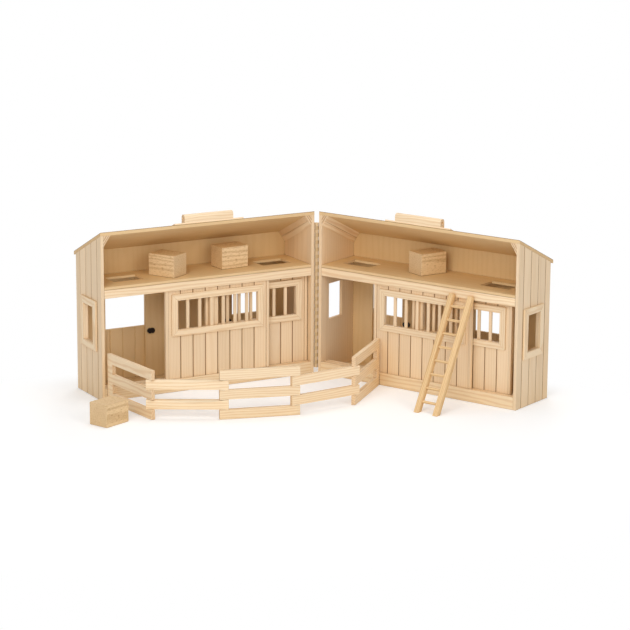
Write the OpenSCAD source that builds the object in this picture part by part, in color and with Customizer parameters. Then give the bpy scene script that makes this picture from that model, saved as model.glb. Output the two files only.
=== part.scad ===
// Toy stable in two hinged halves, standing open, with sliding doors,
// half doors at the back, hay lofts, a folding fence, a ladder and bales.
// All sizes are in millimetres. The origin is the middle of the left half's underside,
// with x along that half and y from its open front to its back.
// Each half is drawn in its own frame: x runs outwards along its open front
// from the hinge, y runs back into the half, and z is up.

/* [Halves] */
// Length of each half along its open front
half_len = 366; // [330:1:400]
// Depth of each half from open front to back wall
half_depth = 92.6; // [84:0.1:104]
// Height of the roof's front edge above the loft floor
loft_room = 85; // [75:0.5:100]
// Slope of the roof in degrees
roof_pitch = 25; // [20:0.5:28]
// Thickness of the roof board
roof_t = 5; // [4:0.1:6]
// How far the roof runs past the back wall
eave_over = 7.3; // [4:0.1:12]
// Thickness of the end walls
wall_t = 5; // [4:0.1:6]
// Thickness of the back wall
back_t = 4.6; // [4:0.1:6]
// Angle between the open fronts of the two halves, in degrees
opening = 115; // [100:1:130]

// Width of the corner moulding under the roof at each end
corner_w = 11.5; // [8:0.5:14]
// Height of the corner moulding
corner_h = 15.5; // [10:0.5:18]
// Width of the groove along the moulding's face
corner_groove = 0.9; // [0.5:0.1:1.4]

/* [Floors and beams] */
// Height of the front sill
sill_h = 19.5; // [16:0.1:24]
// Depth of the front sill and of the beam above the doors
sill_d = 20; // [18:0.1:24]
// Thickness of the stall floor
floor_t = 4; // [3:0.1:6]
// Height of the loft floor's top face
loft_z = 176.5; // [165:0.5:190]
// Thickness of the loft floor
loft_t = 4; // [3:0.1:5]
// Height of the beam under the loft floor's front
beam_h = 13.2; // [11:0.1:16]
// Width of the drop holes in the loft floor
hole_w = 51; // [40:1:60]
// Depth of the drop holes in the loft floor
hole_d = 34; // [25:1:40]
// Distance from the open front to the drop holes
hole_y = 30; // [24:1:36]
// Start of the drop hole nearer the hinge
hole_near_x = 25; // [15:1:40]
// Distance from the outer drop hole to the half's outer end
hole_far_end = 35; // [28:1:50]

/* [Sliding doors] */
// Pitch of the boards in a sliding door
board_w = 21.25; // [20:0.05:22]
// Number of boards in a sliding door
board_n = 8; // [8:1:8]
// Width of the upright strip at each edge of a door
edge_w = 4.5; // [3:0.1:6]
// How far the edge strips stand proud
edge_proud = 1.2; // [0.6:0.1:2]
// Thickness of a door's boards
door_t = 4; // [3:0.1:4.5]
// Distance from the open front to the front door's face
door_y = 4; // [3.6:0.1:5]
// Distance from one door track to the next
track_pitch = 8; // [7.6:0.1:9]
// Depth of the tracks cut in the sill
track_low = 3; // [2:0.1:5]
// Depth of the tracks cut in the beam
track_high = 4; // [3:0.1:6]
// Gap between the window's frame and the beam above it
frame_drop = 6.3; // [3:0.1:10]
// Height of the barred window
bars_h = 46; // [40:0.5:50]
// Gap between the window's frame and the door's edge strips
frame_side = 6; // [2:0.5:12]
// Thickness of each bar from front to back
bar_t = 2.4; // [1.5:0.1:3]
// Number of bars in a door's window
bars_n = 6; // [4:1:6]
// Width of each bar
bar_w = 5; // [3:0.1:6]
// Width of the frame round the barred window
frame_w = 10; // [8:0.1:11]
// How far that frame stands proud of the door
frame_proud = 2.6; // [1.5:0.1:3]
// Place of the left half's front door along the half
left_front_x = 78.5; // [10:0.5:170]
// Place of the left half's rear door along the half
left_rear_x = 6; // [6:0.5:170]
// Distance of the right half's front door from the outer end
right_front_end = 83; // [17:0.5:176]
// Distance of the right half's rear door from the outer end
right_rear_end = 17; // [11:0.5:176]

/* [End windows] */
// Width of the window in each end wall
win_w = 35; // [28:0.5:40]
// Height of the window in each end wall
win_h = 57; // [48:0.5:64]
// Height of the end windows' lower edge
win_z = 85.5; // [78:0.5:95]
// Distance from the open front to the outer window
win_out_y = 26; // [24:0.5:32]
// Distance from the open front to the hinge side window
win_in_y = 21.5; // [21:0.5:32]
// Width of the trim round the outer window
trim_w = 10.3; // [8:0.1:11]
// Thickness of the trim round the outer window
trim_t = 3.4; // [2:0.1:5]
// Distance from the open front to the first plank groove
groove_first = 15.3; // [12:0.1:18]
// Distance between the plank grooves of the end walls
groove_pitch = 21; // [18:0.1:23]
// Width of a plank groove at the surface
groove_w = 2.2; // [1:0.1:3]
// Depth of a plank groove
groove_deep = 1.2; // [0.6:0.1:1.8]

/* [Back doors] */
// Height of the threshold under the back doorways
sill_back = 5; // [4:0.5:8]
// Height of the top of the back half doors
half_door_z = 86.5; // [80:0.5:95]
// Height of the top of the back doorways
doorway_z = 142; // [130:1:150]
// Start of the doorway nearer the hinge
near_x = 42; // [38:1:48]
// Width of the doorway nearer the hinge
near_w = 58; // [50:1:62]
// Distance of the left half's outer doorway from the outer end
left_far_end = 46; // [40:1:54]
// Distance of the right half's outer doorway from the outer end
right_far_end = 63; // [56:1:70]
// Width of the outer doorways
far_w = 68; // [60:1:72]
// Thickness of a back half door
half_door_t = 4; // [3:0.1:4.5]
// How far a half door laps over the edges of its doorway
half_door_lap = 3; // [2.6:0.1:4]
// Radius of the half doors' pivot rods
rod_r = 1.2; // [0.8:0.05:1.4]
// Height of the brackets that hold a pivot rod's top
bracket_h = 7; // [4:0.5:9]
// Height of the brackets that hold a pivot rod's foot
foot_h = 1.8; // [1.4:0.1:2]
// Distance from a doorway to its catch's shaft
catch_off = 9; // [8:0.1:11]
// Distance of a catch's shaft below the half door's top
catch_drop = 8; // [6:0.5:12]
// Radius of a catch's shaft
catch_shaft_r = 2; // [1.5:0.05:2.5]
// Radius of a catch's boss behind the wall
catch_boss_r = 4; // [3.2:0.1:4.5]
// Length of a catch's arm from its shaft
catch_arm = 20; // [16:0.5:24]
// Thickness of a catch's arm
catch_arm_t = 2.6; // [2:0.1:3]
// Radius of each lobe of a catch's inner knob
catch_r = 4.2; // [3:0.1:5]
// Thickness of a catch's inner knob
catch_t = 2.6; // [2:0.1:4]

/* [Hinge] */
// Distance from each half's end wall to the hinge pin
hinge_side = 4; // [3.6:0.1:5]
// Distance from each half's open front to the hinge pin
hinge_fore = 0.4; // [0.3:0.05:0.8]
// Height of the hinge's lower end
hinge_z = 9.5; // [6:0.5:16]
// Length of one knuckle along the pin
knuckle_len = 5.7; // [5:0.1:8]
// Number of knuckles on the pin
knuckle_n = 41; // [35:2:41]
// Outer radius of a knuckle
knuckle_r = 2.6; // [2.2:0.05:2.9]
// Radius of the hinge pin
hinge_pin_r = 1.2; // [1:0.05:1.5]
// Width of a hinge leaf on its wall
leaf_w = 13; // [10:0.5:16]
// Thickness of a hinge leaf
leaf_t = 1; // [0.8:0.05:1.2]

/* [Handles] */
// Length of a handle's grip
grip_len = 83; // [70:1:100]
// Width of a handle's grip
grip_w = 11; // [9:0.1:13]
// Height of the grip's top above the roof's front edge
grip_rise = 13.5; // [12:0.5:18]
// Length of the pad under a handle
pad_len = 118; // [100:1:140]
// Width of the pad under a handle
pad_w = 18; // [14:0.5:24]
// Thickness of the pad under a handle
pad_t = 2.5; // [2:0.1:4]
// Radius of the blind hole in the grip's outer end
grip_hole_r = 2.6; // [2:0.1:3]

/* [Fence] */
// Distance between a middle fence panel's pins, as a share of a half's length
span_share = 0.2959; // [0.28:0.0001:0.3]
// Distance from pin to free end of an end panel, as a share of a half's length
reach_share = 0.3251; // [0.31:0.0001:0.34]
// Distance of the fence's start from the left half's outer end
fence_start = 8; // [3:0.5:14]
// Height of one fence rail with its gap
rail_h = 15; // [12:0.1:16]
// Thickness of a fence rail
rail_t = 6; // [5:0.1:7]
// Width of a fence post or joint
post_w = 14; // [12:0.1:16]
// Radius of the fence's pins
fence_pin_r = 1.6; // [1.2:0.05:2]
// Direction of the first fence panel, in degrees
turn_1 = -83.7; // [-88:0.1:-80]
// Direction of the second fence panel, in degrees
turn_2 = -28.6; // [-32:0.1:-25]
// Direction of the third fence panel, in degrees
turn_3 = -15; // [-18:0.1:-12]
// Direction of the fourth fence panel, in degrees
turn_4 = 5.1; // [2:0.1:9]
// Gap between the fence's free ends and the halves
fence_gap = 1; // [0.5:0.1:3]

/* [Ladder and bales] */
// Length of the ladder
ladder_len = 188; // [170:1:200]
// Side of a ladder rail's square section
ladder_side = 8; // [6:0.1:9]
// Distance between the middles of the ladder's rails
ladder_w = 33.5; // [28:0.5:40]
// Radius of a rung
rung_r = 2.1; // [1.5:0.1:3]
// Number of rungs
rung_n = 8; // [6:1:8]
// Distance between rungs
rung_pitch = 21.8; // [20:0.1:22]
// Distance from the ladder's foot to the first rung
rung_first = 17; // [12:0.5:20]
// Lean of the ladder in degrees
ladder_lean = 29; // [20:0.5:32]
// Place of the ladder along the right half
ladder_x = 269; // [250:1:290]
// Length of a bale
bale_len = 47; // [40:1:50]
// Width of a bale
bale_w = 34; // [28:1:36]
// Height of a bale
bale_h = 34; // [28:1:36]
// Place of the left half's outer bale along the half
outer_bale_x = 239; // [230:1:250]
// Gap behind that bale
outer_bale_back = 19.3; // [2:0.1:25]
// Direction of that bale, in degrees
outer_bale_turn = 60; // [0:1:90]
// Place of the left half's inner bale along the half
inner_bale_x = 99; // [80:1:120]
// Gap behind that bale
inner_bale_back = 19.1; // [2:0.1:25]
// Direction of that bale, in degrees
inner_bale_turn = -4; // [-20:1:20]
// Place of the right half's bale along the half
right_bale_x = 176; // [160:1:190]
// Gap behind that bale
right_bale_back = 5.9; // [2:0.1:25]
// Direction of that bale, in degrees
right_bale_turn = 69; // [0:1:90]
// Distance of the ground bale's corner from the hinge pin, along the left half
ground_bale_x = 424.5; // [415:0.5:440]
// Distance of the ground bale's corner in front of the hinge pin
ground_bale_y = 135; // [125:0.5:145]
// Direction of the ground bale, in degrees
ground_bale_turn = 22.7; // [15:0.1:30]

/* [Clearances] */
// Gap round parts that slide in a track
slide_gap = 0.3; // [0.2:0.05:0.5]
// Radial gap of a pin in a part that turns on it
turn_gap = 0.05; // [0.03:0.01:0.1]
// Gap under a piece that only rests on another
rest_gap = 0.3; // [0.2:0.05:0.5]
// Width of the fine line at each mitre
mitre_gap = 0.15; // [0.1:0.01:0.2]
// Radial gap of a pin in a part that holds it
hold_gap = 0.02; // [0.01:0.01:0.04]

/* [Hidden] */
$fn = 24;
// A little more than nothing, for cuts that pass through a face
over = 1;
// Fall of the roof for each millimetre of depth
fall = tan(roof_pitch);
// Height of the roof board measured straight up
roof_v = roof_t / cos(roof_pitch);
inner_back = half_depth - back_t;
ridge_h = loft_z + loft_room;
room_len = half_len - 2 * wall_t;
beam_top = loft_z - loft_t;
beam_z = beam_top - beam_h;
door_w = board_n * board_w + 2 * edge_w;
door_low = sill_h - track_low + slide_gap;
door_high = beam_z + track_high - slide_gap;
trim_low = sill_h + slide_gap;
trim_high = beam_z - slide_gap;
bars_x = edge_w + frame_side + frame_w;
bars_w = door_w - 2 * bars_x;
bars_z = beam_z - frame_drop - frame_w - bars_h;
bar_pitch = (bars_w + bar_w) / (bars_n + 1);
right_front_x = half_len - right_front_end - door_w;
right_rear_x = half_len - right_rear_end - door_w;
hole_far_x = half_len - hole_far_end - hole_w;
left_far_x = half_len - left_far_end - far_w;
right_far_x = half_len - right_far_end - far_w;
swing = 180 - opening;
half_door_y = half_depth + slide_gap;
rod_y = half_door_y + half_door_t / 2;
half_door_low = foot_h + 2 * slide_gap;
bracket_z = half_door_z + slide_gap;
catch_z = half_door_z - catch_drop;
arm_y = half_door_y + half_door_t + slide_gap;
knob_y = inner_back - slide_gap - catch_t;
hinge_len = knuckle_n * knuckle_len;
fence_levels = 5;
fence_span = span_share * half_len;
fence_reach = reach_share * half_len;
end_len = fence_reach + post_w / 2;
mid_len = fence_span + post_w;
pin_in = post_w / 2;
// How far back a bale's top edge can go before it meets the back wall or the roof
bale_reach = min(inner_back, (loft_room - roof_v - rest_gap - bale_h) / fall);

// Places on the ground, seen from above

pin = [half_len / 2 + hinge_side, -half_depth / 2 - hinge_fore];
function along(turn) = [cos(turn), sin(turn)];
function across(turn) = [-sin(turn), cos(turn)];
function at(o, turn, x, y) = o + x * along(turn) + y * across(turn);

// Fence panels run from left to right, each starting at its own front corner.
// The first one's free end stands just in front of the left half's sill.
fence_o1 = [fence_start - half_len / 2, -half_depth / 2 - fence_gap - rail_t * cos(turn_1)];
fence_p12 = at(fence_o1, turn_1, fence_reach, rail_t / 2);
fence_o2 = at(fence_p12, turn_2, -pin_in, -rail_t / 2);
fence_p23 = at(fence_o2, turn_2, pin_in + fence_span, rail_t / 2);
fence_o3 = at(fence_p23, turn_3, -pin_in, -rail_t / 2);
fence_p34 = at(fence_o3, turn_3, pin_in + fence_span, rail_t / 2);
fence_o4 = at(fence_p34, turn_4, -pin_in, -rail_t / 2);
fence_p45 = at(fence_o4, turn_4, pin_in + fence_span, rail_t / 2);
// The last panel turns until the corner of its free end meets the right half's front
fence_off = hinge_fore - (fence_p45 - pin) * across(-swing) - fence_gap;
fence_tip = norm([fence_reach, rail_t / 2]);
turn_5 = 180 - asin(min(1, fence_off / fence_tip)) + atan(rail_t / 2 / fence_reach) - swing;
fence_o5 = at(fence_p45, turn_5, -pin_in, -rail_t / 2);

// Frames

module place_left() {
  translate([half_len / 2, -half_depth / 2, 0]) mirror([1, 0, 0]) children();
}

module place_right() {
  translate([pin[0], pin[1], 0]) rotate([0, 0, -swing]) translate([hinge_side, hinge_fore, 0])
    children();
}

module place_flat(o, turn) {
  translate([o[0], o[1], 0]) rotate([0, 0, turn]) children();
}

// A side view drawn as y and z, and given a width along x
module side_view(x, w) {
  translate([x, 0, 0]) rotate([90, 0, 90]) linear_extrude(w) children();
}

// Height of the roof's underside at a depth
function under(y) = ridge_h - roof_v - fall * y;

// Parts of one half

module sill() {
  difference() {
    translate([wall_t, 0, 0]) cube([room_len, sill_d, sill_h]);
    for (k = [0, 1]) translate([wall_t - over, door_y - slide_gap + k * track_pitch, sill_h - track_low])
      cube([room_len + 2 * over, door_t + 2 * slide_gap, track_low + over]);
  }
}

module beam() {
  difference() {
    translate([wall_t, 0, beam_z]) cube([room_len, sill_d, beam_h]);
    for (k = [0, 1]) translate([wall_t - over, door_y - slide_gap + k * track_pitch, beam_z - over])
      cube([room_len + 2 * over, door_t + 2 * slide_gap, track_high + over]);
  }
}

module stall_floor() {
  translate([wall_t, sill_d, 0]) cube([room_len, inner_back - sill_d, floor_t]);
}

module loft_floor() {
  difference() {
    translate([wall_t, 0, beam_top]) cube([room_len, inner_back, loft_t]);
    for (x = [hole_near_x, hole_far_x]) translate([x, hole_y, beam_top - over])
      cube([hole_w, hole_d, loft_t + 2 * over]);
  }
}

module roof() {
  side_view(0, half_len) polygon([
    [0, ridge_h - roof_v], [half_depth + eave_over, under(half_depth + eave_over)],
    [half_depth + eave_over, under(half_depth + eave_over) + roof_v], [0, ridge_h]]);
}

// One end wall: grooves on its outer face only
module end_wall(x, win_y, outer) {
  difference() {
    side_view(x, wall_t) polygon([[0, 0], [half_depth, 0], [half_depth, under(half_depth)], [0, under(0)]]);
    translate([x - over, win_y, win_z]) cube([wall_t + 2 * over, win_w, win_h]);
    if (outer) for (y = [groove_first : groove_pitch : half_depth - groove_w])
      translate([x + wall_t, y, -over]) groove(ridge_h + 2 * over);
    if (!outer) for (y = [groove_first : groove_pitch : half_depth - groove_w])
      translate([x, y, -over]) groove(ridge_h + 2 * over);
  }
}

// A V groove's cutter, standing on end
module groove(h) {
  linear_extrude(h) polygon([[-groove_deep, 0], [0, -groove_w / 2], [groove_deep, 0], [0, groove_w / 2]]);
}

// The two doorways in a back wall, each as its start and its width
function doorways(far_x) = [[near_x, near_w], [far_x, far_w]];
// A half door is hinged on the side away from its catch: near doors towards the
// half's hinge, outer doors towards the outer wall
function is_near(d) = d[0] == near_x;
function side(d) = is_near(d) ? 1 : -1;
function rod_x(d) = is_near(d) ? d[0] - half_door_lap + half_door_t / 2
  : d[0] + d[1] + half_door_lap - half_door_t / 2;
function catch_x(d) = is_near(d) ? d[0] + d[1] + catch_off : d[0] - catch_off;

module back_wall(far_x) {
  difference() {
    side_view(wall_t, room_len) polygon([
      [inner_back, 0], [half_depth, 0], [half_depth, under(half_depth)], [inner_back, under(inner_back)]]);
    for (d = doorways(far_x)) {
      translate([d[0], inner_back - over, sill_back])
        cube([d[1], back_t + 2 * over, doorway_z - sill_back]);
      translate([catch_x(d), inner_back - over, catch_z]) rotate([-90, 0, 0])
        cylinder(h = back_t + 2 * over, r = catch_shaft_r + turn_gap);
    }
  }
}

// A pivot rod with the brackets that hold it above and below the half door
module back_hinges(far_x) {
  for (d = doorways(far_x)) translate([rod_x(d), 0, 0]) {
    translate([0, rod_y, 0]) cylinder(h = bracket_z + bracket_h, r = rod_r);
    for (b = [[0, foot_h], [bracket_z, bracket_h]]) translate([0, 0, b[0]]) {
      translate([-half_door_t / 2, half_depth, 0]) cube([half_door_t, rod_y - half_depth, b[1]]);
      translate([0, rod_y, 0]) cylinder(h = b[1], r = half_door_t / 2);
    }
  }
}

// A half door of upright boards, which swings outwards on its rod
module back_door(d) {
  wide = d[1] + 2 * half_door_lap - half_door_t / 2;
  high = half_door_z - half_door_low;
  translate([rod_x(d), 0, half_door_low]) difference() {
    union() {
      translate([0, rod_y, 0]) cylinder(h = high, r = half_door_t / 2);
      translate([is_near(d) ? 0 : -wide, half_door_y, 0]) cube([wide, half_door_t, high]);
    }
    translate([0, rod_y, -over]) cylinder(h = high + 2 * over, r = rod_r + turn_gap);
    for (x = [board_w / 2 : board_w : wide - board_w / 4]) for (y = [0, half_door_t])
      translate([side(d) * x, half_door_y + y, -over]) rotate([0, 0, 90]) groove(high + 2 * over);
  }
}

// A catch: a two lobed knob inside, a shaft through the wall, and an arm outside
// that hangs down and turns up over the half door
module catch(d) {
  translate([catch_x(d), 0, catch_z]) {
    rotate([-90, 0, 0]) {
      translate([0, 0, knob_y]) cylinder(h = arm_y - knob_y, r = catch_shaft_r);
      translate([0, 0, half_door_y]) cylinder(h = arm_y + catch_arm_t - half_door_y, r = catch_boss_r);
      for (x = [-catch_r / 2, catch_r / 2]) translate([x, 0, knob_y]) cylinder(h = catch_t, r = catch_r);
    }
    translate([-catch_boss_r + over / 2, arm_y, -catch_arm])
      cube([2 * catch_boss_r - over, catch_arm_t, catch_arm]);
  }
}

// Three cornered mouldings in the angles between the roof and the end walls,
// each with a groove run along its sloping face
module rafter_strips() {
  for (end = [0, 1]) intersection() {
    side_view(wall_t, room_len)
      polygon([[0, 0], [inner_back, 0], [inner_back, under(inner_back)], [0, under(0)]]);
    translate([end ? half_len - wall_t : wall_t, 0, under(0)]) mirror([end, 0, 0])
      rotate([-roof_pitch, 0, 0]) translate([0, -corner_h, 0])
        rotate([-90, 0, 0]) linear_extrude(2 * half_depth) difference() {
          polygon([[0, 0], [corner_w, 0], [0, corner_h]]);
          translate([corner_w / 2, corner_h / 2]) rotate(-atan(corner_h / corner_w))
            square([corner_groove, 2 * corner_groove], center = true);
        }
  }
}

// A frame of four mitred pieces round a clear width and height, drawn flat from 0, 0
module mitred_frame(w, h, piece, t) {
  g = mitre_gap * sqrt(2);
  for (top = [0, 1]) translate([0, top * h, 0]) mirror([0, top, 0]) linear_extrude(t)
    polygon([[g, 0], [w - g, 0], [w + piece - g, -piece], [g - piece, -piece]]);
  for (far = [0, 1]) translate([far * w, 0, 0]) mirror([far, 0, 0]) linear_extrude(t)
    polygon([[0, 0], [0, h], [-piece, h + piece], [-piece, -piece]]);
}

// Trim round the outer window
module window_trim() {
  translate([half_len, win_out_y, win_z]) rotate([90, 0, 90])
    mitred_frame(win_w, win_h, trim_w, trim_t);
}

module handle_pad() {
  translate([(half_len - pad_len) / 2, 0, ridge_h]) rotate([-roof_pitch, 0, 0])
    translate([0, over, 0]) cube([pad_len, pad_w, pad_t]);
}

module handle() {
  handle_pad();
  grip();
}

module grip() {
  front = over + pad_t * sin(roof_pitch);
  mid = front + grip_w / 2;
  top = ridge_h + grip_rise;
  rest = ridge_h + pad_t / cos(roof_pitch);
  x = (half_len - grip_len) / 2;
  difference() {
    side_view(x, grip_len) union() {
      translate([mid, top - grip_w / 2]) circle(d = grip_w);
      polygon([[front, rest - fall * front], [front + grip_w, rest - fall * (front + grip_w)],
        [front + grip_w, top - grip_w / 2], [front, top - grip_w / 2]]);
    }
    translate([x + grip_len - grip_w, mid, rest + 1.5 * grip_hole_r]) rotate([0, 90, 0])
      cylinder(h = grip_w + over, r = grip_hole_r);
  }
}

// A leaf lies on the outer face of its hinge side wall; first says which knuckles it has
module hinge_leaf(first) {
  difference() {
    union() {
      translate([-leaf_t, knuckle_r + slide_gap, hinge_z]) cube([leaf_t, leaf_w, hinge_len]);
      for (k = [first : 2 : knuckle_n - 1])
        translate([0, 0, hinge_z + k * knuckle_len + slide_gap / 2]) linear_extrude(knuckle_len - slide_gap)
          union() {
            translate([-hinge_side, -hinge_fore]) circle(knuckle_r);
            polygon([[-hinge_side, knuckle_r - hinge_fore], [-hinge_side, knuckle_r - hinge_fore - leaf_t],
              [-leaf_t, knuckle_r - hinge_fore - leaf_t], [0, knuckle_r - hinge_fore],
              [0, 2 * knuckle_r], [-leaf_t, 2 * knuckle_r], [-leaf_t, knuckle_r + slide_gap]]);
          }
    }
    translate([-hinge_side, -hinge_fore, hinge_z - over])
      cylinder(h = hinge_len + 2 * over, r = hinge_pin_r + turn_gap);
  }
}

// Sliding door in its own frame: x from 0, front face at y = 0
module sliding_door() {
  difference() {
    union() {
      translate([0, 0, door_low]) cube([door_w, door_t, door_high - door_low]);
      for (x = [0, door_w - edge_w]) translate([x, -edge_proud, trim_low])
        cube([edge_w, edge_proud, trim_high - trim_low]);
    }
    for (k = [0 : bars_n]) translate([bars_x + k * bar_pitch, -over, bars_z])
      cube([bar_pitch - bar_w, door_t + 2 * over, bars_h]);
    translate([bars_x, bar_t, bars_z]) cube([bars_w, door_t, bars_h]);
    for (k = [1 : board_n - 1]) translate([edge_w + k * board_w, 0, 0]) {
      translate([0, 0, door_low - over]) rotate([0, 0, 90]) groove(bars_z - frame_w - door_low + over);
      translate([0, 0, bars_z + bars_h + frame_w]) rotate([0, 0, 90]) groove(door_high);
    }
  }
}

module door_at(x, k) {
  translate([x, door_y + k * track_pitch, 0]) sliding_door();
}

module door_frame_at(x, k) {
  translate([x + bars_x, door_y + k * track_pitch, bars_z]) rotate([90, 0, 0])
    mitred_frame(bars_w, bars_h, frame_w, frame_proud);
}

// Fence

// A rail at one level, with pin holes of a given radius at the given places
module rail(len, level, holes, r) {
  low = level == 0 ? 0 : level * rail_h + slide_gap / 2;
  high = (level + 1) * rail_h - slide_gap / 2;
  difference() {
    translate([0, 0, low]) cube([len, rail_t, high - low]);
    for (x = holes) translate([x, rail_t / 2, low - over]) cylinder(h = high - low + 2 * over, r = r);
  }
}

module fence_pin(o, turn, x) {
  place_flat(o, turn) translate([x, rail_t / 2, 0])
    cylinder(h = fence_levels * rail_h - slide_gap / 2, r = fence_pin_r);
}

module fence_blocks(x) {
  for (level = [1, 3]) translate([x, 0, level * rail_h - slide_gap / 2])
    cube([post_w, rail_t, rail_h + slide_gap]);
}

// Ladder in its own frame, standing upright

module ladder_place() {
  back = ladder_side / 2 * cos(ladder_lean) + ladder_len * sin(ladder_lean) + slide_gap;
  place_right() translate([ladder_x, -back, 0]) intersection() {
    translate([-ladder_len, -ladder_len, 0]) cube(2 * ladder_len);
    rotate([-ladder_lean, 0, 0]) children();
  }
}

// Nodes

module left_sill() color("BurlyWood") place_left() sill();
module right_sill() color("BurlyWood") place_right() sill();
module left_beam() color("BurlyWood") place_left() beam();
module right_beam() color("BurlyWood") place_right() beam();
module left_stall_floor() color("Tan") place_left() stall_floor();
module right_stall_floor() color("Tan") place_right() stall_floor();
module left_loft_floor() color("Wheat") place_left() loft_floor();
module right_loft_floor() color("Wheat") place_right() loft_floor();
module left_roof() color("Wheat") place_left() roof();
module right_roof() color("Wheat") place_right() roof();
module left_outer_wall() color("Bisque") place_left() end_wall(half_len - wall_t, win_out_y, true);
module right_outer_wall() color("Bisque") place_right() end_wall(half_len - wall_t, win_out_y, true);
module left_hinge_wall() color("Bisque") place_left() end_wall(0, win_in_y, false);
module right_hinge_wall() color("Bisque") place_right() end_wall(0, win_in_y, false);
module left_back_wall() color("Tan") place_left() back_wall(left_far_x);
module right_back_wall() color("Tan") place_right() back_wall(right_far_x);
module left_rafter_strips() color("BurlyWood") place_left() rafter_strips();
module right_rafter_strips() color("BurlyWood") place_right() rafter_strips();
module left_window_trim() color("Wheat") place_left() window_trim();
module right_window_trim() color("Wheat") place_right() window_trim();
module left_handle() color("BurlyWood") place_left() handle();
module right_handle() color("BurlyWood") place_right() handle();
module left_hinge_leaf() color("DarkKhaki") place_left() hinge_leaf(0);
module right_hinge_leaf() color("DarkKhaki") place_right() hinge_leaf(1);
module left_back_hinges() color("DarkKhaki") place_left() back_hinges(left_far_x);
module right_back_hinges() color("DarkKhaki") place_right() back_hinges(right_far_x);
module left_near_catch() color("DimGray") place_left() catch([near_x, near_w]);
module right_near_catch() color("DimGray") place_right() catch([near_x, near_w]);
module left_far_catch() color("DimGray") place_left() catch([left_far_x, far_w]);
module right_far_catch() color("DimGray") place_right() catch([right_far_x, far_w]);
module left_front_door() color("Bisque") place_left() door_at(left_front_x, 0);
module left_rear_door() color("Bisque") place_left() door_at(left_rear_x, 1);
module right_front_door() color("Bisque") place_right() door_at(right_front_x, 0);
module right_rear_door() color("Bisque") place_right() door_at(right_rear_x, 1);
module left_front_door_frame() color("Wheat") place_left() door_frame_at(left_front_x, 0);
module left_rear_door_frame() color("Wheat") place_left() door_frame_at(left_rear_x, 1);
module right_front_door_frame() color("Wheat") place_right() door_frame_at(right_front_x, 0);
module right_rear_door_frame() color("Wheat") place_right() door_frame_at(right_rear_x, 1);
module left_near_back_door() color("Bisque") place_left() back_door([near_x, near_w]);
module right_near_back_door() color("Bisque") place_right() back_door([near_x, near_w]);
module left_far_back_door() color("Bisque") place_left() back_door([left_far_x, far_w]);
module right_far_back_door() color("Bisque") place_right() back_door([right_far_x, far_w]);

module hinge_pin() color("DarkKhaki")
  translate([pin[0], pin[1], hinge_z]) cylinder(h = hinge_len, r = hinge_pin_r);

module fence_panel_1() color("Wheat") place_flat(fence_o1, turn_1)
  for (level = [0, 2, 4]) rail(end_len, level, [fence_reach], fence_pin_r + hold_gap);
module fence_panel_2() color("Wheat") place_flat(fence_o2, turn_2)
  for (level = [1, 3]) rail(mid_len, level, [pin_in, mid_len - pin_in], fence_pin_r + turn_gap);
module fence_panel_3() color("Wheat") place_flat(fence_o3, turn_3)
  for (level = [0, 2, 4]) rail(mid_len, level, [pin_in, mid_len - pin_in], fence_pin_r + hold_gap);
module fence_panel_4() color("Wheat") place_flat(fence_o4, turn_4)
  for (level = [1, 3]) rail(mid_len, level, [pin_in, mid_len - pin_in], fence_pin_r + turn_gap);
module fence_panel_5() color("Wheat") place_flat(fence_o5, turn_5)
  for (level = [0, 2, 4]) rail(end_len, level, [pin_in], fence_pin_r + hold_gap);
module fence_blocks_1() color("Wheat") place_flat(fence_o1, turn_1) fence_blocks(0);
module fence_blocks_5() color("Wheat") place_flat(fence_o5, turn_5) fence_blocks(end_len - post_w);
module fence_pin_1() color("Tan") fence_pin(fence_o1, turn_1, fence_reach);
module fence_pins_3() color("Tan") {
  fence_pin(fence_o3, turn_3, pin_in);
  fence_pin(fence_o3, turn_3, mid_len - pin_in);
}
module fence_pin_5() color("Tan") fence_pin(fence_o5, turn_5, pin_in);

module ladder_rails() color("Wheat") ladder_place()
  for (side = [-1, 1]) difference() {
    translate([side * ladder_w / 2 - ladder_side / 2, -ladder_side / 2, -ladder_side])
      cube([ladder_side, ladder_side, ladder_len + ladder_side]);
    for (k = [0 : rung_n - 1]) translate([0, 0, rung_first + k * rung_pitch]) rotate([0, 90, 0])
      cylinder(h = ladder_w, r = rung_r + hold_gap, center = true);
  }

module ladder_rungs() color("Wheat") ladder_place()
  for (k = [0 : rung_n - 1]) translate([0, 0, rung_first + k * rung_pitch]) rotate([0, 90, 0])
    cylinder(h = ladder_w - 2 * hold_gap, r = rung_r, center = true);

// A bale in a loft, with its rearmost corner a given gap in front of wall or roof
module bale(x, gap, turn) {
  deep = bale_w * cos(turn) + max(0, bale_len * sin(turn));
  translate([x, bale_reach - gap - deep, loft_z + rest_gap]) rotate([0, 0, turn])
    cube([bale_len, bale_w, bale_h]);
}

module left_outer_bale() color("Peru") place_left() bale(outer_bale_x, outer_bale_back, outer_bale_turn);
module left_inner_bale() color("Peru") place_left() bale(inner_bale_x, inner_bale_back, inner_bale_turn);
module right_bale() color("Peru") place_right() bale(right_bale_x, right_bale_back, right_bale_turn);
module floor_bale() color("Peru")
  place_flat([pin[0] - ground_bale_x, pin[1] - ground_bale_y], ground_bale_turn)
    cube([bale_len, bale_w, bale_h]);

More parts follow.
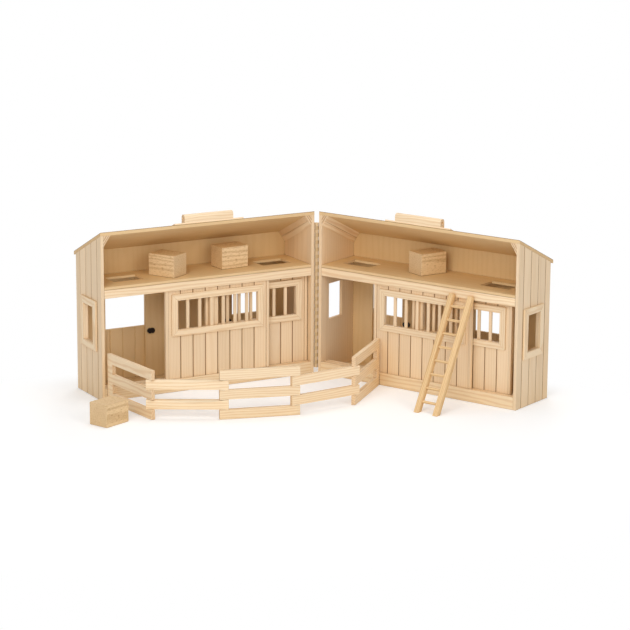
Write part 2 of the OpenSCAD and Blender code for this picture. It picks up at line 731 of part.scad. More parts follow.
left_sill();
left_stall_floor();
left_back_wall();
left_outer_wall();
left_hinge_wall();
left_roof();
left_loft_floor();
left_beam();
left_rafter_strips();
left_window_trim();
left_handle();
left_hinge_leaf();
left_back_hinges();
left_near_catch();
left_far_catch();
left_front_door();
left_front_door_frame();
left_rear_door();
left_rear_door_frame();
left_near_back_door();
left_far_back_door();
right_sill();
right_stall_floor();
right_back_wall();
right_outer_wall();
right_hinge_wall();
right_roof();
right_loft_floor();
right_beam();
right_rafter_strips();
right_window_trim();
right_handle();
right_hinge_leaf();
right_back_hinges();
right_near_catch();
right_far_catch();
right_front_door();
right_front_door_frame();
right_rear_door();
right_rear_door_frame();
right_near_back_door();
right_far_back_door();
hinge_pin();
fence_panel_1();
fence_panel_2();
fence_panel_3();
fence_panel_4();
fence_panel_5();
fence_blocks_1();
fence_blocks_5();
fence_pin_1();
fence_pins_3();
fence_pin_5();
ladder_rails();
ladder_rungs();
left_outer_bale();
left_inner_bale();
right_bale();
floor_bale();
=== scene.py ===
import math

import bpy
from mathutils import Euler, Matrix, Vector


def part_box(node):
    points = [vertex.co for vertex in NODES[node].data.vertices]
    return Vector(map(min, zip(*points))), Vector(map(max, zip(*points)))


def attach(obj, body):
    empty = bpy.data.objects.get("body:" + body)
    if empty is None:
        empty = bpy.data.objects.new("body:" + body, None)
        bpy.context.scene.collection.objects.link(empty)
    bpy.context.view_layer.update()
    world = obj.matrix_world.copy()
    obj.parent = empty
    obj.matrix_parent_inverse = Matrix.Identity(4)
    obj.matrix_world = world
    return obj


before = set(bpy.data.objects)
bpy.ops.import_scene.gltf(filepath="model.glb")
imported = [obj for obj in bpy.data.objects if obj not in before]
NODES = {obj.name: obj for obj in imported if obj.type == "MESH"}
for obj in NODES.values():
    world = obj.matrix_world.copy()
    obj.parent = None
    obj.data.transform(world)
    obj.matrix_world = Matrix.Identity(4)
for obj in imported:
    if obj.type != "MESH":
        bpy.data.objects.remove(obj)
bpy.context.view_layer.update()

# Where the halves stand, as in the part: the hinge pin joins their front corners
HALF_LEN = 0.366
HALF_DEPTH = 0.0926
HINGE_SIDE = 0.004
HINGE_FORE = 0.0004
OPENING = math.radians(115)
RIDGE_H = 0.2615
ROOF_PITCH = math.radians(25)
PIN = Vector((HALF_LEN / 2 + HINGE_SIDE, -HALF_DEPTH / 2 - HINGE_FORE, 0))
# The left half's turn away from the picture plane in the photograph's view
VIEW_TURN = math.radians(-29.14)


class Frame:
    """Where a group of pieces is drawn: an origin and a turn, for grain that follows the wood."""

    def __init__(self, origin, turn, lean=0.0):
        self.origin = Vector(origin)
        self.rotation = Euler((lean, 0, turn), "XYZ")


# In both halves' frames |x| runs from the hinge along the open front, and y to the back
LEFT = Frame((HALF_LEN / 2, -HALF_DEPTH / 2, 0), 0)
RIGHT_TURN = OPENING - math.pi
hinge_offset = Matrix.Rotation(RIGHT_TURN, 4, "Z") @ Vector((HINGE_SIDE, HINGE_FORE, 0))
RIGHT = Frame(PIN + hinge_offset, RIGHT_TURN)
HALVES = {"left": LEFT, "right": RIGHT}


# Helpers for building shader nodes


class Nodes:
    """A node tree with short calls for the nodes used here."""

    def __init__(self, tree):
        self.tree = tree
        tree.nodes.clear()

    def node(self, kind, **settings):
        made = self.tree.nodes.new(kind)
        for key, value in settings.items():
            setattr(made, key, value)
        return made

    def feed(self, socket, value):
        if isinstance(value, bpy.types.NodeSocket):
            self.tree.links.new(value, socket)
        else:
            socket.default_value = value

    def math(self, operation, *values, clamp=False):
        made = self.node("ShaderNodeMath", operation=operation, use_clamp=clamp)
        for socket, value in zip(made.inputs, values):
            self.feed(socket, value)
        return made.outputs[0]

    def spread(self, value, low, high, to_low=0.0, to_high=1.0):
        """Maps low to high onto to_low to to_high, with soft ends."""
        made = self.node("ShaderNodeMapRange", interpolation_type="SMOOTHSTEP")
        for socket, given in zip(made.inputs, (value, low, high, to_low, to_high)):
            self.feed(socket, given)
        return made.outputs[0]

    def noise(self, vector, scale, detail=3.0, rough=0.5):
        made = self.node("ShaderNodeTexNoise")
        self.feed(made.inputs["Vector"], vector)
        made.inputs["Scale"].default_value = scale
        made.inputs["Detail"].default_value = detail
        made.inputs["Roughness"].default_value = rough
        return made.outputs[0]

    def combine(self, x, y, z):
        made = self.node("ShaderNodeCombineXYZ")
        for socket, value in zip(made.inputs, (x, y, z)):
            self.feed(socket, value)
        return made.outputs[0]

    def split(self, vector):
        """The parts of a vector, by the name of their axis."""
        made = self.node("ShaderNodeSeparateXYZ")
        self.feed(made.inputs[0], vector)
        return dict(zip("xyz", made.outputs))

    def into_frame(self, vector, rotation, origin=(0, 0, 0)):
        """A vector as it reads in a turned and moved frame."""
        made = self.node("ShaderNodeMapping", vector_type="TEXTURE")
        made.inputs["Location"].default_value = origin
        made.inputs["Rotation"].default_value = rotation
        self.feed(made.inputs["Vector"], vector)
        return made.outputs[0]

    def mix(self, factor, first, second, blend="MIX"):
        made = self.node("ShaderNodeMix", data_type="RGBA", blend_type=blend)
        self.feed(made.inputs[0], factor)
        self.feed(made.inputs[6], first)
        self.feed(made.inputs[7], second)
        return made.outputs[2]

    def openness(self, distance):
        """How open a spot is to what lies within a distance: 1 in the open, 0 when shut in."""
        made = self.node("ShaderNodeAmbientOcclusion", samples=6, only_local=False)
        made.inputs["Distance"].default_value = distance
        return made.outputs["AO"]

    def seen_ray(self):
        """1 for what the camera sees straight or in a reflection, 0 for light that bounces."""
        path = self.node("ShaderNodeLightPath")
        seen = self.math("MAXIMUM", path.outputs["Is Camera Ray"], path.outputs["Is Glossy Ray"])
        return self.math("MAXIMUM", seen, path.outputs["Is Transmission Ray"])


class Shader(Nodes):
    """A material and its nodes."""

    def __init__(self, name):
        self.material = bpy.data.materials.new(name)
        self.material.use_nodes = True
        super().__init__(self.material.node_tree)
        self.out = self.tree.nodes.new("ShaderNodeOutputMaterial")

    def bump(self, height, distance, strength):
        made = self.node("ShaderNodeBump")
        made.inputs["Distance"].default_value = distance
        made.inputs["Strength"].default_value = strength
        self.feed(made.inputs["Height"], height)
        return made.outputs[0]

    def principled(self, **inputs):
        made = self.node("ShaderNodeBsdfPrincipled")
        for key, value in inputs.items():
            self.feed(made.inputs[key.replace("_", " ")], value)
        self.tree.links.new(made.outputs[0], self.out.inputs[0])
        return made


def rgb(r, g, b):
    """A colour given as it looks on screen, 0 to 255, turned into linear light."""

    def linear(v):
        v /= 255
        return v / 12.92 if v <= 0.04045 else ((v + 0.055) / 1.055) ** 2.4

    return (linear(r), linear(g), linear(b), 1.0)


# The looks of the woods: light and dark of the grain, the colour of seams and of painted shade,
# ring spacing in metres, strengths, and the tint of painted bounce light
PINE = {
    "light": rgb(245, 221, 187),
    "dark": rgb(226, 188, 142),
    "seam_and_painted_shade": rgb(126, 78, 30),
    "ring": 0.0036,
    "grain": 0.55,
    "fibre": 0.5,
    "speck": 0.0,
    "fleck": 0.0,
    "cloud": 0.5,
    "warp": 0.006,
    "tone": 0.04,
    "end": 0.35,
    "end_tint": rgb(196, 150, 102),
    "painted_bounce_tint": (0.98, 0.91, 0.76, 1.0),
    "rough": 0.5,
}
PLANK = dict(
    PINE,
    light=rgb(240, 214, 180),
    dark=rgb(224, 191, 148),
    ring=0.0046,
    grain=0.28,
    fibre=0.3,
    tone=0.05,
)
LADDER = dict(PINE, light=rgb(232, 198, 150), dark=rgb(204, 162, 110), ring=0.003)
BOARD = {
    "light": rgb(230, 198, 152),
    "dark": rgb(214, 176, 126),
    "seam_and_painted_shade": rgb(112, 76, 38),
    "ring": 0.009,
    "grain": 0.16,
    "fibre": 0.3,
    "speck": 0.5,
    "fleck": 0.0,
    "cloud": 0.3,
    "warp": 0.012,
    "tone": 0.02,
    "end": 0.2,
    "end_tint": rgb(186, 140, 92),
    "painted_bounce_tint": (0.94, 0.89, 0.74, 1.0),
    "rough": 0.6,
}
LEAF = dict(BOARD, grain=0.06, tone=0.01)
BALE = {
    "light": rgb(234, 205, 163),
    "dark": rgb(190, 152, 108),
    "seam_and_painted_shade": rgb(104, 70, 36),
    "ring": 0.0017,
    "grain": 0.45,
    "fibre": 0.6,
    "speck": 0.3,
    "fleck": 0.6,
    "cloud": 0.2,
    "warp": 0.002,
    "tone": 0.04,
    "end": 0.15,
    "end_tint": rgb(212, 178, 138),
    "painted_bounce_tint": (0.96, 0.9, 0.74, 1.0),
    "rough": 0.7,
}

# How the tree differs from piece to piece: a shift along its patterns, and the pith's place
# beside the piece, each as (least, spread)
TREE_SHIFT = 0.9
PITH_WIDE = (0.03, 0.16)
PITH_THICK = (0.06, -0.10)
# Keeps the planks of one object from repeating those of another
PLANK_SEED = 37.0
# How much each pattern is drawn out along the grain, and how fine it is across it
WAVE_DRAW, WAVE_FINE = 0.16, 38.0
CLOUD_FINE = 22.0
FIBRE_DRAW, FIBRE_FINE = 0.035, 2600.0
SPECK_FINE = 1100.0
FLECK_DRAW, FLECK_FINE = 0.2, 1000.0
FLECK_EDGE = (0.52, 0.64)
# Where in a ring the late wood begins, as the ring's sine
LATE_WOOD = -0.35

# Half width of a scored line's dark core and of its soft edge, and the strength of its stain
LINE_CORE = 0.00035
LINE_EDGE = 0.0011
LINE_STAIN = 0.88
# The same for a joint
JOINT_CORE = 0.0002
JOINT_EDGE = 0.0008
JOINT_STAIN = 0.55
# A plywood edge: thickness of its dark outer ply, the blend under it, the face's own skin
PLY_SKIN = 0.0007
PLY_EDGE = 0.0002
PLY_FACE = 0.00005
PLY_STAIN = 0.8
# Painted shade in nooks, in the seam colour: how near other wood has to be, how open a spot is, and
# the strength
NOOK_REACH = 0.003
NOOK_OPEN = (0.2, 0.7)
NOOK_PAINTED_SHADE = 0.6
# Painted bounce light, a warm tint in shut-in spots: how far round a spot other wood counts, and
# how open the spot is
PAINTED_BOUNCE_REACH = 0.1
PAINTED_BOUNCE_OPEN = (0.1, 0.85)
# How squarely a face meets the grain where it counts as end grain
END_FACING = (0.75, 0.95)
# The fibres' relief, their share in the roughness, and bare wood's slight sheen
WOOD_RELIEF = 0.00012
WOOD_BUMP = 0.6
ROUGH_SPREAD = 0.2
BARE_SHEEN = 0.12


class Wood(Shader):
    """Wood with rings round a far off pith, warped along the grain."""

    def __init__(self, name, look, place, along):
        super().__init__(name)
        self.look = look
        self.place = place
        self.along = along
        self.coords = self.node("ShaderNodeTexCoord")
        self.spot = self.into_frame(self.coords.outputs["Object"], place.rotation, place.origin)
        self.axes = self.split(self.spot)
        self.length = self.axes[along]
        self.wide, self.thick = [self.axes[a] for a in "xyz" if a != along]
        # Each object is cut from another part of the tree
        self.chance = self.node("ShaderNodeObjectInfo").outputs["Random"]

    def plank_lines(self, planks, face):
        """Cuts each plank of a scored board from another tree, and returns its stained lines."""
        axis, start, pitch = planks
        place_in = self.math("DIVIDE", self.math("SUBTRACT", self.axes[axis], start), pitch)
        index = self.math("FLOOR", place_in)
        white = self.node("ShaderNodeTexWhiteNoise", noise_dimensions="1D")
        seed = self.math("MULTIPLY", self.chance, PLANK_SEED)
        self.feed(white.inputs["W"], self.math("ADD", index, seed))
        self.chance = white.outputs["Value"]
        across = self.math("SUBTRACT", place_in, index)
        nearer = self.math("MINIMUM", across, self.math("SUBTRACT", 1.0, across))
        edge = self.math("MULTIPLY", nearer, pitch)
        line = self.spread(edge, LINE_CORE, LINE_EDGE, 1.0, 0.0)
        face_axis, low, high = face
        depth = self.math("ABSOLUTE", self.axes[face_axis])
        above = self.math("GREATER_THAN", depth, low)
        below = self.math("LESS_THAN", depth, high)
        return self.math("MULTIPLY", line, self.math("MULTIPLY", above, below))

    def drawn_out(self, draw):
        """The spot in the frame, with the grain's axis drawn out."""
        return self.combine(self.math("MULTIPLY", self.length, draw), self.wide, self.thick)

    def tree_spot(self):
        """The spot in this piece's own part of the tree."""
        shift = self.math("MULTIPLY", self.chance, TREE_SHIFT)
        moved = self.node("ShaderNodeVectorMath", operation="ADD")
        self.feed(moved.inputs[0], self.drawn_out(WAVE_DRAW))
        self.feed(moved.inputs[1], self.combine(shift, shift, shift))
        return moved.outputs[0]

    def rings(self, tree_spot):
        """The late wood of the rings: distance from the pith, with slow waves along the grain."""
        warp = self.math("SUBTRACT", self.noise(tree_spot, WAVE_FINE, 3.0, 0.55), 0.5)
        bend = self.math("MULTIPLY", warp, self.look["warp"] * 2)
        squares = []
        for way, (least, more) in ((self.wide, PITH_WIDE), (self.thick, PITH_THICK)):
            off = self.math("ADD", way, self.math("MULTIPLY_ADD", self.chance, more, least))
            squares.append(self.math("MULTIPLY", off, off))
        radius = self.math("SQRT", self.math("ADD", *squares))
        waves = 2 * math.pi / self.look["ring"]
        phase = self.math("MULTIPLY", self.math("ADD", radius, bend), waves)
        return self.spread(self.math("SINE", phase), LATE_WOOD, 1.0)

    def grain_colour(self, late, fibre, tree_spot):
        """The wood's colour from its rings, fibres, specks, flecks and clouds."""
        look = self.look

        def about_none(pattern, strength):
            return self.math("MULTIPLY", self.math("SUBTRACT", pattern, 0.5), strength)

        amount = self.math("MULTIPLY", late, look["grain"])
        amount = self.math("ADD", amount, about_none(fibre, look["fibre"]))
        if look["speck"]:
            speck = self.noise(self.spot, SPECK_FINE, 2.0, 0.7)
            amount = self.math("ADD", amount, about_none(speck, look["speck"]))
        if look["fleck"]:
            fleck = self.noise(self.drawn_out(FLECK_DRAW), FLECK_FINE, 2.0, 0.6)
            fleck = self.spread(fleck, *FLECK_EDGE)
            amount = self.math("ADD", amount, self.math("MULTIPLY", fleck, look["fleck"]))
        cloud = self.noise(tree_spot, CLOUD_FINE, 2.0, 0.5)
        amount = self.math("ADD", amount, about_none(cloud, look["cloud"]), clamp=True)
        colour = self.mix(amount, look["light"], look["dark"])
        swing = self.math("SUBTRACT", self.chance, 0.5)
        tone = self.math("MULTIPLY_ADD", swing, 2 * look["tone"], 1.0)
        return self.mix(1.0, colour, self.combine(tone, tone, tone), "MULTIPLY")

    def with_painted_bounce(self, colour):
        """Painted bounce light: shut-in spots take the look's warm tint into their colour, for
        light that has bounced between boards and come back warmer.
        """
        painted_warmth = self.spread(self.openness(PAINTED_BOUNCE_REACH), *PAINTED_BOUNCE_OPEN, 1.0, 0.0)
        return self.mix(painted_warmth, colour, self.mix(1.0, colour, self.look["painted_bounce_tint"], "MULTIPLY"))

    # Painted shade: shut-in spots are darkened towards the seam colour
    def painted_nook_shade(self):
        return self.spread(self.openness(NOOK_REACH), *NOOK_OPEN, NOOK_PAINTED_SHADE, 0.0)

    def joint_shade(self, share_x, share_z, distance):
        """A fine dark line where share_x times |x| and share_z times z add up to a distance."""
        across_x = self.math("MULTIPLY", self.math("ABSOLUTE", self.axes["x"]), share_x)
        reached = self.math("MULTIPLY_ADD", self.axes["z"], share_z, across_x)
        off = self.math("ABSOLUTE", self.math("SUBTRACT", reached, distance))
        return self.spread(off, JOINT_CORE, JOINT_EDGE, JOINT_STAIN, 0.0)

    def ply_shade(self, plies):
        """The dark outer ply on a plywood board's edges."""
        axis, top = plies
        under = self.math("SUBTRACT", top, self.axes[axis])
        from_skin = self.math("SUBTRACT", under, PLY_SKIN)
        ply = self.spread(from_skin, -PLY_EDGE, PLY_EDGE, PLY_STAIN, 0.0)
        return self.math("MULTIPLY", ply, self.math("GREATER_THAN", under, PLY_FACE))

    def with_end_grain(self, colour):
        """End grain drinks more light."""
        toward = self.split(self.into_frame(self.coords.outputs["Normal"], self.place.rotation))
        end = self.spread(self.math("ABSOLUTE", toward[self.along]), *END_FACING)
        strength = self.math("MULTIPLY", end, self.look["end"])
        return self.mix(strength, colour, self.look["end_tint"])


def wood(name, look, place, along, planks=None, face=None, plies=None, joints=()):
    """A wood material whose grain runs along one axis of a frame.

    planks is (axis, start, pitch) where a board is scored into planks, each of which has
    its own rings and tone, and face is (axis, low, high), the layer whose scored lines are
    stained. plies is (axis, top) of a plywood board, whose outer ply shows darker on its
    edges. joints are the planes, as (share of |x|, share of z, distance), that show as a
    fine dark line.
    """
    s = Wood(name, look, place, along)
    # Painted shade in nooks, then the stained lines, joints and ply edges
    shades = [s.painted_nook_shade()]
    shades += [s.joint_shade(*joint) for joint in joints]
    if planks:
        shades.append(s.math("MULTIPLY", s.plank_lines(planks, face), LINE_STAIN))
    if plies:
        shades.append(s.ply_shade(plies))
    tree_spot = s.tree_spot()
    late = s.rings(tree_spot)
    fibre = s.noise(s.drawn_out(FIBRE_DRAW), FIBRE_FINE, 2.0, 0.6)
    # Painted bounce light warms the colour of shut-in spots
    colour = s.with_end_grain(s.with_painted_bounce(s.grain_colour(late, fibre, tree_spot)))
    shade = shades[0]
    for other in shades[1:]:
        shade = s.math("MAXIMUM", shade, other)
    made = s.principled(
        Base_Color=s.mix(shade, colour, look["seam_and_painted_shade"]),
        Roughness=s.math("MULTIPLY_ADD", fibre, ROUGH_SPREAD, look["rough"] - ROUGH_SPREAD / 2),
        Normal=s.bump(s.math("ADD", s.math("MULTIPLY", late, 0.5), fibre), WOOD_RELIEF, WOOD_BUMP),
    )
    made.inputs["Specular IOR Level"].default_value = BARE_SHEEN
    return s.material


# The mottle of smooth pieces: its fineness, its share in the colour, and its relief
MOTTLE_FINE = 320.0
MOTTLE_TINT = 0.35
MOTTLE_RELIEF = 0.00005
MOTTLE_BUMP = 0.4


def smooth(name, colour, mottle_colour, rough, metallic):
    """Plated metal or moulded plastic with a faint mottle in its sheen."""
    s = Shader(name)
    mottle = s.noise(s.node("ShaderNodeTexCoord").outputs["Object"], MOTTLE_FINE, 4.0, 0.6)
    made = s.principled(
        Base_Color=s.mix(s.math("MULTIPLY", mottle, MOTTLE_TINT), colour, mottle_colour),
        Roughness=s.math("MULTIPLY_ADD", mottle, ROUGH_SPREAD, rough - ROUGH_SPREAD / 2),
        Normal=s.bump(mottle, MOTTLE_RELIEF, MOTTLE_BUMP),
    )
    made.inputs["Metallic"].default_value = metallic
    return s.material


def dress(node, *materials):
    """Gives a CAD node its materials."""
    mesh = NODES[node].data
    mesh.materials.clear()
    for material in materials:
        mesh.materials.append(material)


# Sanded edges: their width, the angle from which an edge is sanded, and equal points' distance
SANDED_W = 0.00035
SANDED_FROM = math.radians(40)
SAME_POINT = 1e-6


def soften(node):
    """Rounds a node's sharp edges a little, as sanded wood has them."""
    obj = NODES[node]
    weld = obj.modifiers.new("Join", "WELD")
    weld.merge_threshold = SAME_POINT
    bevel = obj.modifiers.new("Sanded", "BEVEL")
    bevel.width = SANDED_W
    bevel.segments = 2
    bevel.limit_method = "ANGLE"
    bevel.angle_limit = SANDED_FROM
    bevel.use_clamp_overlap = True


def frame_parts(node, place, across):
    """Gives the upright pieces of a mitred frame the second material, by where each face lies."""
    mesh = NODES[node].data
    turn = place.rotation.to_matrix().inverted()
    local = [turn @ (p.center - place.origin) for p in mesh.polygons]
    side = {"x": 0, "y": 1}[across]
    u = [v[side] for v in local]
    w = [v.z for v in local]
    for polygon, a, b in zip(mesh.polygons, u, w):
        # How far the face lies in from the frame's outer edge, each way
        in_u = min(a - min(u), max(u) - a)
        in_w = min(b - min(w), max(w) - b)
        polygon.material_index = 1 if in_u < in_w else 0


# Wood of the two halves: where their scored planks begin, and in which faces

DOOR_PLANK = 0.02125
DOOR_EDGE = 0.0045
DOOR_FACE = {"front": 0.004, "rear": 0.012}
DOOR_START = {"left_front": 0.0785, "left_rear": 0.006, "right_front": 0.104, "right_rear": 0.17}
FACE_SLACK = 0.0001
WALL_T = 0.005
BEAM_TOP = 0.1725
ROOF_T = 0.005
# The normal of the mouldings' sloping face, and how far from the corner their layers join
MOULD_X = 0.8031
MOULD_Z = 0.5959
MOULD_LAYERS = (0.0042, 0.0071)
LEAF_FACE = 0.0969
WALL_GROOVE = 0.0153
WALL_PITCH = 0.021
GROOVE_DEPTH = 0.0013
ROD_PLACE = {"left_near": 0.041, "left_far": 0.321, "right_near": 0.041, "right_far": 0.304}


def dress_shell(half, place, pine_along, pine_upright):
    """The fixed pieces of one half."""
    for part in ("sill", "handle"):
        dress(f"{half}_{part}", pine_along)
    joints = [(0, 1, BEAM_TOP), (1, 0, WALL_T), (1, 0, HALF_LEN - WALL_T)]
    dress(f"{half}_beam", wood(f"{half}_beam_pine", PINE, place, "x", joints=joints))
    dress(f"{half}_loft_floor", wood(f"{half}_loft_board", BOARD, place, "x", joints=joints))
    dress(f"{half}_stall_floor", wood(f"{half}_board_along", BOARD, place, "x"))
    dress(f"{half}_back_wall", wood(f"{half}_board_upright", BOARD, place, "z"))
    edge = place.origin + Vector((0, 0, RIDGE_H))
    roof_place = Frame(edge, place.rotation.z, -ROOF_PITCH)
    dress(f"{half}_roof", wood(f"{half}_roof_board", BOARD, roof_place, "x", plies=("z", 0.0)))
    # The mouldings' ends show two layers' joints, which run parallel to the sloping face
    layers = []
    for spot in MOULD_LAYERS:
        start = spot + MOULD_Z * ROOF_T
        layers.append((MOULD_X, -MOULD_Z, start + MOULD_X * WALL_T))
        layers.append((-MOULD_X, -MOULD_Z, start - MOULD_X * (HALF_LEN - WALL_T)))
    moulding = wood(f"{half}_moulding", PINE, roof_place, "y", joints=layers)
    dress(f"{half}_rafter_strips", moulding)
    planks = ("y", WALL_GROOVE, WALL_PITCH)
    for wall, x in (("outer", HALF_LEN), ("hinge", 0)):
        face = ("x", x - GROOVE_DEPTH, x + GROOVE_DEPTH)
        dress(f"{half}_{wall}_wall", wood(f"{half}_{wall}_planks", PLANK, place, "z", planks, face))
    dress(f"{half}_window_trim", wood(f"{half}_pine_slope", PINE, place, "y"), pine_upright)
    frame_parts(f"{half}_window_trim", place, "y")


def dress_doors(half, place, pine_along, pine_upright):
    """The sliding doors and the half doors of one half."""
    sign = -1 if half == "left" else 1
    for which in ("front", "rear"):
        planks = ("x", sign * (DOOR_START[f"{half}_{which}"] + DOOR_EDGE), DOOR_PLANK)
        face = ("y", DOOR_FACE[which] - FACE_SLACK, DOOR_FACE[which] + GROOVE_DEPTH)
        door_wood = wood(f"{half}_{which}_planks", PLANK, place, "z", planks, face)
        dress(f"{half}_{which}_door", door_wood)
        dress(f"{half}_{which}_door_frame", pine_along, pine_upright)
        frame_parts(f"{half}_{which}_door_frame", place, "x")
    for which, side in (("near", 1), ("far", -1)):
        planks = ("x", sign * (ROD_PLACE[f"{half}_{which}"] + side * DOOR_PLANK / 2), DOOR_PLANK)
        face = ("y", LEAF_FACE - GROOVE_DEPTH, LEAF_FACE + GROOVE_DEPTH)
        leaf_wood = wood(f"{half}_{which}_leaf_planks", LEAF, place, "z", planks, face)
        dress(f"{half}_{which}_back_door", leaf_wood)


for half, place in HALVES.items():
    pine_along = wood(f"{half}_pine_along", PINE, place, "x")
    pine_upright = wood(f"{half}_pine_upright", PINE, place, "z")
    dress_shell(half, place, pine_along, pine_upright)
    dress_doors(half, place, pine_along, pine_upright)

# Fence, ladder and bales

FENCE_TURNS = {1: -83.7, 2: -28.6, 3: -15.0, 4: 5.1, 5: 42.71}
# The panels' frames stand at different heights, so that their grain differs
GRAIN_STEP = 0.11
for number, turn in FENCE_TURNS.items():
    low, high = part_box(f"fence_panel_{number}")
    origin = ((low.x + high.x) / 2, (low.y + high.y) / 2, number * GRAIN_STEP)
    place = Frame(origin, math.radians(turn))
    rail_wood = wood(f"fence_pine_{number}", PINE, place, "x")
    dress(f"fence_panel_{number}", rail_wood)
    if number in (1, 5):
        dress(f"fence_blocks_{number}", rail_wood)
dowel_wood = wood("dowel_wood", PINE, Frame((0, 0, 0), 0), "z")
for name in ("fence_pin_1", "fence_pins_3", "fence_pin_5"):
    dress(name, dowel_wood)

LADDER_LEAN = math.radians(29)
ladder_place = Frame(PIN, RIGHT_TURN, -LADDER_LEAN)
dress("ladder_rails", wood("ladder_pine", LADDER, ladder_place, "z"))
dress("ladder_rungs", wood("rung_pine", LADDER, RIGHT, "x"))

BALE_TURNS = {
    "left_outer_bale": -60.0,
    "left_inner_bale": 4.0,
    "right_bale": 4.0,
    "floor_bale": 22.7,
}
for name, turn in BALE_TURNS.items():
    low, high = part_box(name)
    dress(name, wood(name + "_wood", BALE, Frame((low + high) / 2, math.radians(turn)), "x"))

# Metal and plastic

steel = smooth("pivot_steel", rgb(176, 170, 158), rgb(140, 134, 124), 0.4, 1.0)
black = smooth("catch_black", rgb(22, 21, 22), rgb(34, 33, 34), 0.38, 0.0)
# The hinge is one brass; its two leaves are a lit and a shaded copy of it, painted light on the
# left leaf and painted shade on the right, so that the knuckles stand apart
brass = {
    "pin": smooth("hinge_brass", rgb(206, 178, 132), rgb(170, 138, 88), 0.6, 0.5),
    "left": smooth("left_leaf_painted_lit_brass", rgb(218, 190, 150), rgb(196, 166, 120), 0.7, 0.15),
    "right": smooth("right_leaf_painted_shaded_brass", rgb(208, 178, 132), rgb(172, 140, 94), 0.7, 0.15),
}
for half in HALVES:
    dress(f"{half}_hinge_leaf", brass[half])
    dress(f"{half}_back_hinges", steel)
    for which in ("near", "far"):
        dress(f"{half}_{which}_catch", black)
dress("hinge_pin", brass["pin"])

SHARP = ("back_wall", "hinge_leaf", "back_hinges", "hinge_pin", "fence_pin", "rungs", "catch")
for name in NODES:
    if not any(word in name for word in SHARP):
        soften(name)

# The rolled edge of each hinge leaf, a thin web behind the knuckles
HINGE_LOW, HINGE_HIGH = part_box("hinge_pin")
WEB_T = 0.0004
WEB_W = 0.0021
WEB_BACK = 0.0019
# The faces of a box whose corners are listed with z changing fastest and x slowest
BOX_FACES = [(0, 1, 3, 2), (4, 6, 7, 5), (0, 4, 5, 1), (2, 3, 7, 6), (0, 2, 6, 4), (1, 5, 7, 3)]
for half, place in HALVES.items():
    into = 1 if half == "left" else -1
    turn = place.rotation.to_matrix()
    ends = ((0, into * WEB_W), (WEB_BACK, WEB_BACK + WEB_T), (HINGE_LOW.z, HINGE_HIGH.z))
    spots = [Vector((x, y, z)) for x in ends[0] for y in ends[1] for z in ends[2]]
    web_mesh = bpy.data.meshes.new(f"{half}_hinge_web")
    web_mesh.from_pydata([place.origin + turn @ v for v in spots], [], BOX_FACES)
    web_mesh.materials.append(brass[half])
    web = bpy.data.objects.new(f"{half}_hinge_web", web_mesh)
    bpy.context.scene.collection.objects.link(web)
    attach(web, f"{half}_half")

# Floor

FLOOR_SIZE = 14.0
# Keeps the floor clear of the undersides that stand on it
FLOOR_DROP = 0.0002
FLOOR_GREY = (0.86, 0.86, 0.86, 1)
FLOOR_LIFT = 0.2
# Distances from the origin between which the floor turns plain white
WHITE_START = 0.45
WHITE_FULL = 0.95
# How far shadow shows behind each half, and how it fades
BACK_SHADOW = 0.01
BACK_FADE = 0.08


def floor_material():
    """Keeps the shadow near the object and turns into plain white further out."""
    s = Shader("floor")
    matt = s.node("ShaderNodeBsdfDiffuse")
    matt.inputs["Color"].default_value = FLOOR_GREY
    seen = s.seen_ray()
    lift = s.node("ShaderNodeEmission")
    s.feed(lift.inputs["Strength"], s.math("MULTIPLY", seen, FLOOR_LIFT))
    near = s.node("ShaderNodeAddShader")
    s.feed(near.inputs[0], matt.outputs[0])
    s.feed(near.inputs[1], lift.outputs[0])
    ground = s.node("ShaderNodeTexCoord").outputs["Object"]
    reach = s.node("ShaderNodeVectorMath", operation="LENGTH")
    s.feed(reach.inputs[0], ground)
    far = s.spread(reach.outputs["Value"], WHITE_START, WHITE_FULL)
    start = HALF_DEPTH + BACK_SHADOW
    for place in HALVES.values():
        back = s.split(s.into_frame(ground, place.rotation, place.origin))["y"]
        far = s.math("MAXIMUM", far, s.spread(back, start, start + BACK_FADE))
    blend = s.node("ShaderNodeMixShader")
    s.feed(blend.inputs[0], s.math("MULTIPLY", far, seen))
    s.feed(blend.inputs[1], near.outputs[0])
    s.feed(blend.inputs[2], s.node("ShaderNodeEmission").outputs[0])
    s.feed(s.out.inputs[0], blend.outputs[0])
    return s.material


floor_mesh = bpy.data.meshes.new("floor")
half_floor = FLOOR_SIZE / 2
corners = [(x * half_floor, y * half_floor, 0) for x, y in ((-1, -1), (1, -1), (1, 1), (-1, 1))]
floor_mesh.from_pydata(corners, [], [(0, 1, 2, 3)])
floor_mesh.materials.append(floor_material())
floor = bpy.data.objects.new("floor", floor_mesh)
bpy.context.scene.collection.objects.link(floor)
floor.location.z = -FLOOR_DROP

# The studio round it: plain white where it is seen, and a soft light from all sides

AMBIENT = 0.42
world = bpy.data.worlds.new("studio")
bpy.context.scene.world = world
world.use_nodes = True
studio = Nodes(world.node_tree)
level = studio.node("ShaderNodeMapRange")
level.inputs["To Min"].default_value = AMBIENT
level.inputs["To Max"].default_value = 1.0
studio.feed(level.inputs["Value"], studio.seen_ray())
background = studio.node("ShaderNodeBackground")
studio.feed(background.inputs["Strength"], level.outputs[0])
studio.feed(studio.node("ShaderNodeOutputWorld").inputs[0], background.outputs[0])

# Directions are given in the photograph's view, whose y runs away from the camera
to_view = Matrix.Rotation(VIEW_TURN, 4, "Z")


def from_view(x, y, z):
    """A place given in the photograph's view, from the hinge pin on the floor."""
    return PIN + to_view @ Vector((x, y, z))


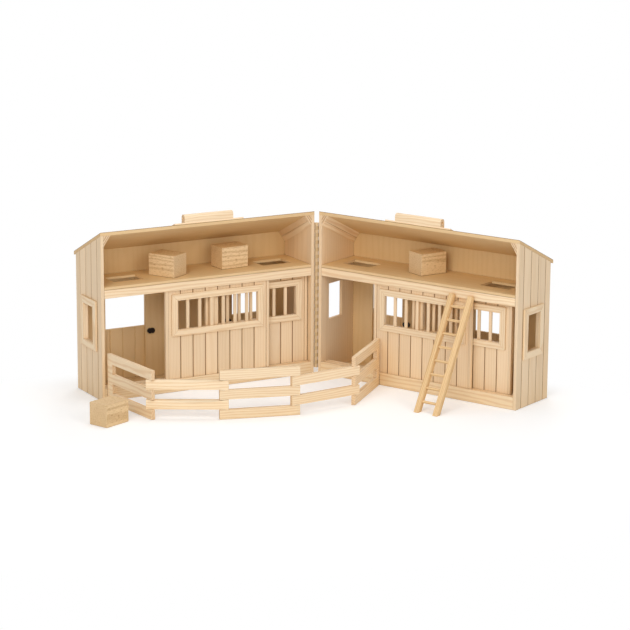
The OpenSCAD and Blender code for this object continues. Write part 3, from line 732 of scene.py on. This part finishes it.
# What the lamps aim at, and each lamp's place, width in metres and power in watts
MIDDLE = from_view(0, -0.12, 0.1)
LAMPS = {
    "softbox_left": ((-0.8, -2.1, 1.5), 1.4, 22),
    "softbox_right": ((1.2, -1.7, 1.2), 1.3, 10),
    "softbox_front": ((0.0, -2.9, 0.75), 1.0, 9),
    "softbox_top": ((0.1, 0.1, 2.2), 1.6, 14),
    "softbox_back": ((0.2, 2.1, 1.4), 1.4, 14),
}
for name, (place, size, power) in LAMPS.items():
    data = bpy.data.lights.new(name, "AREA")
    data.shape = "DISK"
    data.size = size
    data.energy = power
    lamp = bpy.data.objects.new(name, data)
    bpy.context.scene.collection.objects.link(lamp)
    lamp.location = from_view(*place)
    aim = MIDDLE - lamp.location
    lamp.rotation_euler = aim.to_track_quat("-Z", "Y").to_euler()

# Camera, fitted to the photograph

CAMERA_LENS = 141.64
CAMERA_SENSOR = 36.0
CAMERA_CLIP = 100
CAMERA_PLACE = (-0.003474, -3.80757, 1.002)
CAMERA_YAW = 0.0004
CAMERA_PITCH = -0.234
CAMERA_ROLL = 0.006
forward = Vector(
    (
        math.sin(CAMERA_YAW) * math.cos(CAMERA_PITCH),
        math.cos(CAMERA_YAW) * math.cos(CAMERA_PITCH),
        math.sin(CAMERA_PITCH),
    )
)
level_right = Vector((math.cos(CAMERA_YAW), -math.sin(CAMERA_YAW), 0))
level_up = level_right.cross(forward)
right = math.cos(CAMERA_ROLL) * level_right + math.sin(CAMERA_ROLL) * level_up
up = math.cos(CAMERA_ROLL) * level_up - math.sin(CAMERA_ROLL) * level_right
camera_data = bpy.data.cameras.new("camera")
camera_data.lens = CAMERA_LENS
camera_data.sensor_width = CAMERA_SENSOR
camera_data.clip_end = CAMERA_CLIP
camera = bpy.data.objects.new("camera", camera_data)
bpy.context.scene.collection.objects.link(camera)
turn = Matrix((right, up, -forward)).transposed().to_4x4()
camera.matrix_world = Matrix.Translation(from_view(*CAMERA_PLACE)) @ to_view @ turn
bpy.context.scene.camera = camera
bpy.context.scene.view_settings.view_transform = "Standard"
